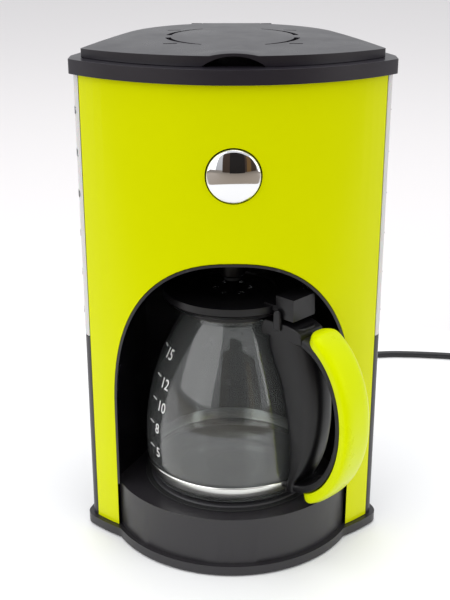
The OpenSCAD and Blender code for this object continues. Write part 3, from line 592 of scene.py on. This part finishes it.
class LEAD_OT_build(bpy.types.Operator):
    """Mains lead, its coil, its strain relief and its plug"""
    bl_idname = "coffee.lead"
    bl_label = "Mains lead"

    def execute(self, context):
        sizes = context.scene.maker_sizes
        route = lead_route()
        curve = bpy.data.curves.new("Lead", "CURVE")
        curve.dimensions = "3D"
        curve.bevel_depth = sizes.lead_diameter / 2
        curve.bevel_resolution = 4
        curve.use_fill_caps = True
        curve.resolution_u = 4
        line = curve.splines.new("BEZIER")
        line.bezier_points.add(len(route) - 1)
        for point, spot in zip(line.bezier_points, route):
            point.co = spot + Vector((0, 0, 0.0001))
            point.handle_left_type = point.handle_right_type = "AUTO"
        lead = bpy.data.objects.new("Lead", curve)
        context.scene.collection.objects.link(lead)
        curve.materials.append(finish("cord_pvc"))
        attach(lead, "housing")
        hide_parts("power_cord", "cord_coil")
        plug = self.plug()
        self.gland()
        repaint("plug_blades")
        return {"FINISHED"}

    def plug(self):
        """A moulded plug: a body with finger grips and a ribbed tail."""
        centre = middle("mains_plug")
        tail_y = low("mains_plug").y
        front = high("mains_plug").y
        back = tail_y + 0.018
        points = [(-0.0072, back), (-0.0105, back + 0.006), (-0.0098, back + 0.013),
                  (-0.0108, back + 0.021), (-0.011, front), (0.011, front),
                  (0.0108, back + 0.021), (0.0098, back + 0.013), (0.0105, back + 0.006),
                  (0.0072, back)]
        bm = prism([(centre.x + x, y, 0.0002) for x, y in points], (0, 0, 0.0148))
        rings = []
        for i in range(5):
            y = 0.0185 - i * 0.0036
            r = 0.0058 - i * 0.0004
            rings += [(r, y), (r, y - 0.0022), (r - 0.0009, y - 0.0024), (r - 0.0009, y - 0.0034)]
        tail = lathe([(0, 0.0195)] + rings + [(0.0033, 0.0006), (0, 0.0006)],
                     (centre.x, tail_y, 0.0075), steps=32, axis=(0, 1, 0))
        join(bm, tail)
        piece = place(bm, "Plug", "housing", "cord_pvc", ["mains_plug"])
        return round_edges(piece, 0.0011, 3)

    def gland(self):
        """The strain relief: a flange and a tapered sleeve with cut ribs."""
        exit_way = Vector((math.cos(math.radians(60)), math.sin(math.radians(60)), 0))
        inner = LEAD_EXIT - exit_way * 0.0345
        outline = [(0.0031, 0.0), (0.007, 0.0), (0.007, 0.0065), (0.0049, 0.0068),
                   (0.0049, 0.0104), (0.007, 0.0106), (0.007, 0.0122), (0.0064, 0.0128),
                   (0.0052, 0.0130)]
        for i in range(7):
            at = 0.0136 + i * 0.0029
            r = 0.0052 - i * 0.0002
            outline += [(r, at), (r, at + 0.0017), (r - 0.0008, at + 0.0019),
                        (r - 0.0008, at + 0.0027)]
        outline += [(0.0038, 0.0341), (0.0031, 0.0344)]
        bm = lathe(outline, inner, steps=40, closed=True, axis=exit_way)
        piece = place(bm, "Strain_relief", "housing", "cord_pvc", ["strain_relief"])
        return round_edges(piece, 0.0002, 1)


# ---- housing ----

class HOUSING_OT_build(bpy.types.Operator):
    """Front panel, niche liner and rear shell"""
    bl_idname = "coffee.housing"
    bl_label = "Housing"

    def execute(self, context):
        sizes = context.scene.maker_sizes
        refine("front_panel", "Front_panel", sizes.panel_edge)
        refine("niche_liner", "Niche_liner", sizes.shell_edge)
        refine("rear_shell", "Rear_shell", sizes.shell_edge)
        return {"FINISHED"}


class GAUGES_OT_build(bpy.types.Operator):
    """Water gauge windows with their level marks"""
    bl_idname = "coffee.gauges"
    bl_label = "Water gauges"

    def execute(self, context):
        ink = printed_ink("#3c3c40")
        for side, name in ((-1, "left"), (1, "right")):
            window = "gauge_window_" + name
            refine(window, "Gauge_window_" + name, 0.0004)
            self.marks(side, window, "Gauge_marks_" + name, ink)
        return {"FINISHED"}

    def marks(self, side, window, name, ink):
        """Ticks and cup numbers printed up the middle of a window."""
        bottom, top = low(window).z, high(window).z
        across = low(window).y + 0.010
        whole = bmesh.new()
        mesh = frame["nodes"][window].data
        surface = BVHTree.FromPolygons([v.co for v in mesh.vertices],
                                       [p.vertices for p in mesh.polygons])
        for i, number in enumerate(("5", "6", "8", "10", "12", "15")):
            z = bottom + 0.018 + (top - bottom - 0.042) * i / 5
            bm = print_shapes([(number, 0.0012, 0, 0.0068), (None, -0.0022, 0, 0.0042)], 0.0002)
            for vert in bm.verts:
                x, y, lift = vert.co
                spot = Vector((side * 0.2, across + side * x, z + y))
                hit = surface.ray_cast(spot, Vector((-side, 0, 0)))[0]
                vert.co = (hit.x + side * (0.00014 + lift), spot.y, spot.z)
            join(whole, bm)
        bmesh.ops.recalc_face_normals(whole, faces=whole.faces)
        place(whole, name, "housing", "rubber_black", [], material=ink)


class BASE_OT_build(bpy.types.Operator):
    """Base shell, warming plate, seal, cover, feet and screws"""
    bl_idname = "coffee.base"
    bl_label = "Base"

    def execute(self, context):
        sizes = context.scene.maker_sizes
        refine("base_shell", "Base_shell", sizes.shell_edge * 1.5)
        refine("bottom_cover", "Bottom_cover", 0.0003)
        refine("feet", "Feet", 0.0004)
        refine("base_screws", "Base_screws", 0.0002)
        self.plate()
        refine("plate_seal", "Plate_seal", 0.0003)
        return {"FINISHED"}

    def plate(self):
        """A pressed plate with a raised rim and two shallow rings."""
        spot = middle("warming_plate")
        top, under = high("warming_plate").z, low("warming_plate").z
        r = (high("warming_plate").x - low("warming_plate").x) / 2
        line = [(0, top - 0.0004), (0.018, top - 0.0004), (0.019, top - 0.0007),
                (0.02, top - 0.0004), (0.038, top - 0.0004), (0.039, top - 0.0007),
                (0.04, top - 0.0004), (r - 0.009, top - 0.0004), (r - 0.008, top),
                (r - 0.001, top), (r - 0.0003, top - 0.0003), (r, top - 0.001), (r, under),
                (r - 0.002, under), (r - 0.002, top - 0.002), (0, top - 0.002)]
        bm = lathe([(a, z - spot.z) for a, z in line], spot, steps=128)
        return place(bm, "Warming_plate", "housing", "plate_coat", ["warming_plate"], soft=50)


class TOP_OT_build(bpy.types.Operator):
    """Top rim, lid, hinge pin and water spreader"""
    bl_idname = "coffee.top"
    bl_label = "Rim and lid"

    def execute(self, context):
        edge = context.scene.maker_sizes.top_edge
        refine("top_rim", "Top_rim", edge, segments=4)
        refine("lid", "Lid", edge * 0.7, segments=4)
        refine("lid_spreader", "Lid_spreader", 0.0004)
        repaint("lid_hinge_pin")
        return {"FINISHED"}


class BUTTON_OT_build(bpy.types.Operator):
    """Mirror-polished push button, its bezel, spring and switch"""
    bl_idname = "coffee.button"
    bl_label = "Push button"

    def execute(self, context):
        centre = middle("power_button")
        front = low("power_button").y
        r = (high("power_button").x - low("power_button").x) / 2
        rim = front + r * r / (2 * 0.042)
        dome = [(0, 0.0)] + [(x * r / 10, (x * r / 10) ** 2 / (2 * 0.042)) for x in range(1, 10)]
        dome += [(r - 0.0006, rim - front - 0.0002), (r - 0.0001, rim - front + 0.0004),
                 (r - 0.0001, rim - front + 0.0012)]
        back = high("power_button").y - front
        dome += [(r - 0.0001, back - 0.0081), (0.003, back - 0.0081), (0.003, back), (0, back)]
        bm = lathe([(a, -b) for a, b in dome], (centre.x, front, centre.z), steps=96,
                   axis=(0, -1, 0))
        place(bm, "Power_button", "power_button", "mirror_chrome", ["power_button"], soft=40)
        refine("button_bezel", "Button_bezel", 0.0005)
        repaint("button_spring", "switch_body")
        return {"FINISHED"}


class INSIDE_OT_build(bpy.types.Operator):
    """Tank, filter, heater, hoses, valves and wiring"""
    bl_idname = "coffee.inside"
    bl_label = "Inside parts"

    def execute(self, context):
        refine("water_tank", "Water_tank", 0.0006)
        refine("filter_basket", "Filter_basket", 0.0005)
        refine("mesh_filter", "Mesh_filter", 0.0003)
        refine("drip_stop_valve", "Drip_stop_valve", 0.0004)
        repaint("heating_element", "heater_bracket", "thermostat", "thermal_fuse",
                "check_valve_body", "check_valve_ball", "inlet_hose", "outlet_hose",
                "hose_clamps", "riser_tube", "drip_stop_spring", "drip_stop_cap",
                "terminal_block", "wiring")
        return {"FINISHED"}


# ---- carafe ----

def glass_profile(inset):
    """The glass from the middle of its foot up to its lip, moved inwards by inset."""
    r, foot, neck = GLASS_R, FOOT_Z, 0.034
    side = [(r - 0.011, 0.0), (r - 0.005, 0.0015), (r - 0.0024, 0.006), (r - 0.0009, 0.014),
            (r, 0.029), (r - 0.0008, 0.046), (r - 0.0034, 0.062), (r - 0.0074, 0.078),
            (r - 0.0123, 0.092), (r - 0.0183, 0.105), (neck + 0.005, 0.116),
            (neck + 0.0018, 0.122), (neck, 0.126), (neck, 0.134)]
    line = smooth_line([(a, 0.0, b) for a, b in side], 4)
    return [(p.x - inset, foot + max(p.z, inset)) for p in line]


def radius_at(profile, z):
    """The distance from the axis that a profile has at a height."""
    for (r0, z0), (r1, z1) in zip(profile, profile[1:]):
        if z0 <= z <= z1 and z1 > z0:
            return r0 + (r1 - r0) * (z - z0) / (z1 - z0)
    return profile[-1][0]


class CARAFE_OT_build(bpy.types.Operator):
    """Glass jug, steel band, collar and lid"""
    bl_idname = "coffee.carafe"
    bl_label = "Carafe"

    def execute(self, context):
        wall = context.scene.maker_sizes.glass_wall
        outer, inner = glass_profile(0), glass_profile(wall)
        lip = [(outer[-1][0] - wall * 0.5, outer[-1][1])]
        profile = ([(0, outer[0][1] + 0.0012), (outer[0][0] - 0.006, outer[0][1] + 0.001)]
                   + outer + lip + inner[::-1] + [(0, inner[0][1])])
        bm = lathe([(a, z - CARAFE.z) for a, z in profile], CARAFE, steps=128)
        place(bm, "Carafe_glass", "carafe", "glass_clear", ["carafe_glass"], soft=60)
        self.band()
        refine("carafe_collar", "Carafe_collar", 0.0005)
        refine("carafe_lid", "Carafe_lid", 0.0015, segments=4)
        repaint("carafe_lid_pin", "handle_screws")
        return {"FINISHED"}

    def band(self):
        """The steel band round the foot, with rolled edges."""
        bottom, top = low("carafe_band").z, high("carafe_band").z
        r0, r1 = GLASS_R - 0.0012, GLASS_R + 0.0002
        line = [(r0 - 0.0006, bottom), (r0, bottom + 0.0004), (r0 + 0.0002, bottom + 0.001),
                (r0 + 0.0005, (bottom + top) / 2), (r1 - 0.0002, top - 0.001),
                (r1 - 0.0002, top - 0.0004), (r1 - 0.0007, top),
                (r1 - 0.0008, (bottom + top) / 2)]
        bm = lathe([(a, z - CARAFE.z) for a, z in line], CARAFE, steps=128, closed=True)
        place(bm, "Carafe_band", "carafe", "band_steel", ["carafe_band"], soft=60)


# The middle of the grip's ovals, as distance from the carafe's axis and height.
GRIP_MIDDLE = Vector((0.066, 0.113))


class HANDLE_OT_build(bpy.types.Operator):
    """Carafe handle: black spine and coloured grip insert"""
    bl_idname = "coffee.handle"
    bl_label = "Carafe handle"

    def execute(self, context):
        grip = context.scene.maker_sizes.grip_round
        bm = self.spine()
        join(bm, loft(self.crescent(36.6, 52.2, 41.4, 59.1, 0.0112, 5, 5, 97, -97, 0)))
        for outline, side, across in self.blocks():
            join(bm, prism([handle_point(rho, side, z) for rho, z in outline],
                           handle_point(0, across, 0) - handle_point(0, 0, 0)))
        round_edges(place(bm, "Carafe_handle", "carafe", "black_pp", ["carafe_handle"]),
                    0.0012, 3)
        place(loft(self.crescent(41.5, 59.2, 49.9, 67.9, 0.0129, 9, grip, 77, -81, 0.013)),
              "Handle_insert", "carafe", "green_grip", ["handle_insert"], soft=60)
        return {"FINISHED"}

    def section(self, inner, outer, half, square_in, square_out):
        """One ring between an inner and an outer (distance, height), 2 * half wide."""
        ring = []
        for k in range(40):
            c, s = math.cos(math.tau * k / 40), math.sin(math.tau * k / 40)
            power = 2 / (square_out if c > 0 else square_in)
            t = 0.5 + 0.5 * math.copysign(abs(c) ** power, c)
            side = half * math.copysign(abs(s) ** power, s)
            ring.append(handle_point(inner[0] + (outer[0] - inner[0]) * t, side,
                                     inner[1] + (outer[1] - inner[1]) * t))
        return ring

    def crescent(self, a0, b0, a1, b1, half, square_in, square_out, top, bottom, ease):
        """Rings of a curved bar between two ovals, from one angle down to another."""
        steps = 64
        rings = []
        for i in range(steps + 1):
            t = i / steps
            if ease:
                t = 0.5 - 0.5 * math.cos(math.pi * t)
            a = math.radians(top + (bottom - top) * t)
            inner = GRIP_MIDDLE + Vector((a0 * math.cos(a), b0 * math.sin(a))) / 1000
            outer = GRIP_MIDDLE + Vector((a1 * math.cos(a), b1 * math.sin(a))) / 1000
            # Round ends, and a slow taper towards the lower tip.
            way = abs(math.radians(top - bottom)) * 0.055
            near = min(t, 1 - t) * way / ease if ease else 1
            width = half * math.sqrt(max(1 - (1 - min(near, 1)) ** 2, 0.004))
            if ease:
                width *= 1 - 0.22 * max(0, (t - 0.55) / 0.45) ** 1.5
                outer = inner + (outer - inner) * (0.45 + 0.55 * min(1, near * 1.6) ** 0.5)
            rings.append(self.section(inner, outer, width, square_in, square_out))
        return rings

    def spine(self):
        """The upright part by the glass: a smooth bulge with a flat back."""
        wall = glass_profile(-0.0013)
        rings = []
        for i in range(45):
            z = 0.0535 + 0.1225 * i / 44
            inner = max(0.0428, radius_at(wall, z))
            bulge = max(0, 1 - ((z - 0.118) / 0.07) ** 2)
            outer = max(0.046 + 0.041 * math.sqrt(bulge), 0.0705)
            rings.append(self.section((inner, z), (outer, z), 0.0119, 7, 2.8))
        return loft(rings)

    def blocks(self):
        """The collar's arm with its shoulder, and the two hinge ears."""
        arm = [(0.0378, 0.1662), (0.0378, 0.1732), (0.0412, 0.1774), (0.0600, 0.1774),
               (0.0660, 0.1766), (0.0715, 0.1742), (0.0734, 0.1710), (0.0734, 0.1662)]
        yield arm, -0.0119, 0.0238
        ear = [(0.0500, 0.1725), (0.0500, 0.1846), (0.0512, 0.1866), (0.0531, 0.1873),
               (0.0550, 0.1866), (0.0562, 0.1846), (0.0562, 0.1725)]
        yield ear, 0.0115, 0.0024
        yield ear, -0.0139, 0.0024


class SCALE_OT_build(bpy.types.Operator):
    """Cup scale printed on the glass"""
    bl_idname = "coffee.scale"
    bl_label = "Cup scale"

    def execute(self, context):
        # Number, height above the table and direction of its left end, in degrees.
        marks = (("15", 0.1442, -162), ("12", 0.1252, -154), ("10", 0.1090, -152),
                 ("8", 0.0922, -151), ("5", 0.0745, -149))
        whole = bmesh.new()
        wall = glass_profile(0)
        for number, z, turn in marks:
            radius = min((abs(h - z), r) for r, h in wall)[1]
            bm = print_shapes([(number, 0, 0, 0.0105), (None, -0.0062, 0.0022, 0.0066)], 0.0002)
            for vert in bm.verts:
                x, y, lift = vert.co
                here = radius_at(wall, z + y)
                a = math.radians(turn) + x / radius
                r = here + 0.00016 + lift
                vert.co = (CARAFE.x + r * math.cos(a), CARAFE.y + r * math.sin(a), z + y)
            join(whole, bm)
        place(whole, "Cup_scale", "carafe", "nylon_white", [], material=printed_ink("#dededc"))
        return {"FINISHED"}


BUILD = (STAGE_OT_build, LEAD_OT_build, HOUSING_OT_build, GAUGES_OT_build, BASE_OT_build,
         TOP_OT_build, BUTTON_OT_build, INSIDE_OT_build, CARAFE_OT_build, HANDLE_OT_build,
         SCALE_OT_build)


class COFFEE_PT_panel(bpy.types.Panel):
    """Lists the machine's pieces, sizes and colours"""
    bl_label = "Coffee maker"
    bl_idname = "COFFEE_PT_panel"
    bl_space_type = "VIEW_3D"
    bl_region_type = "UI"
    bl_category = "Coffee maker"

    def draw(self, context):
        layout = self.layout
        for group in (context.scene.maker_sizes, context.scene.maker_colours):
            for name in group.__annotations__:
                layout.prop(group, name)
        for kind in BUILD:
            layout.operator(kind.bl_idname)


CLASSES = (MakerSizes, MakerColours, *BUILD, COFFEE_PT_panel)


def register():
    for kind in CLASSES:
        bpy.utils.register_class(kind)
    bpy.types.Scene.maker_sizes = bpy.props.PointerProperty(type=MakerSizes)
    bpy.types.Scene.maker_colours = bpy.props.PointerProperty(type=MakerColours)


def unregister():
    del bpy.types.Scene.maker_colours
    del bpy.types.Scene.maker_sizes
    for kind in reversed(CLASSES):
        bpy.utils.unregister_class(kind)


def main():
    register()
    MATERIALS.update(make_materials(bpy.context.scene.maker_colours))
    for kind in BUILD:
        group, name = kind.bl_idname.split(".")
        getattr(getattr(bpy.ops, group), name)()


if __name__ == "__main__":
    main()
